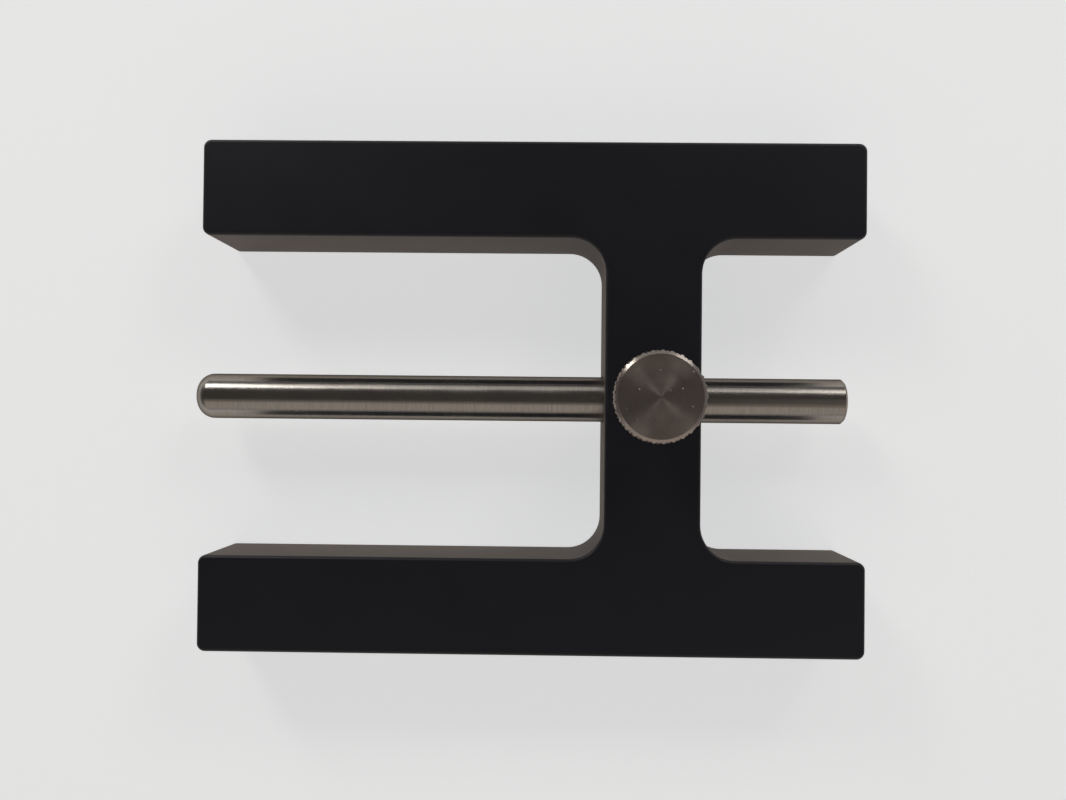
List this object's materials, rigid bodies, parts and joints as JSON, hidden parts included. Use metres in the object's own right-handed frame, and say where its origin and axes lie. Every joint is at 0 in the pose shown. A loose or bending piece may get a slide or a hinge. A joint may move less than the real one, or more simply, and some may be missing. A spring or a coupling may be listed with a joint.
{
  "type": "honing guide",
  "caption": "H-shaped honing guide for drawknives: flat arms take abrasive strips, and a round guide rod slides through the bridge and is clamped by a knurled thumb screw.",
  "frame": {"origin": "where the thumb screw's axis meets the back face, which is the face the guide lies on", "axes": "+Z along the screw's axis towards its head, +X along the guide rod towards the short arms, Y across the arms"},
  "size_m": [0.117, 0.088, 0.028],
  "materials": {
    "black_anodised_aluminium": "satin black anodised",
    "ground_stainless_steel": "ground and polished along its length",
    "turned_stainless_steel": "turned face, knurled rim",
    "brass": "as machined"
  },
  "bodies": {
    "frame": {"body": "black_anodised_aluminium"},
    "rod": {"guide_rod": "ground_stainless_steel"},
    "pad": {"clamp_pad": "brass"},
    "screw": {"thumb_screw": "turned_stainless_steel"}
  },
  "joints": [
    {"name": "rod_slide", "type": "slide", "parent": "frame", "child": "rod", "axis": [1, 0, 0], "range_m": [-0.025, 0.069]},
    {"name": "screw_advance", "type": "slide", "parent": "frame", "child": "pad", "axis": [0, 0, 1], "range_m": [0, 0.0016]},
    {"name": "screw_turn", "type": "hinge", "parent": "pad", "child": "screw", "pos_m": [0, 0, 0.016], "axis": [0, 0, 1], "range_deg": [0, 720]}
  ],
  "couplings": [
    {"joint": "screw_advance", "follows": "screw_turn", "m_per_rad": 0.00012732}
  ]
}
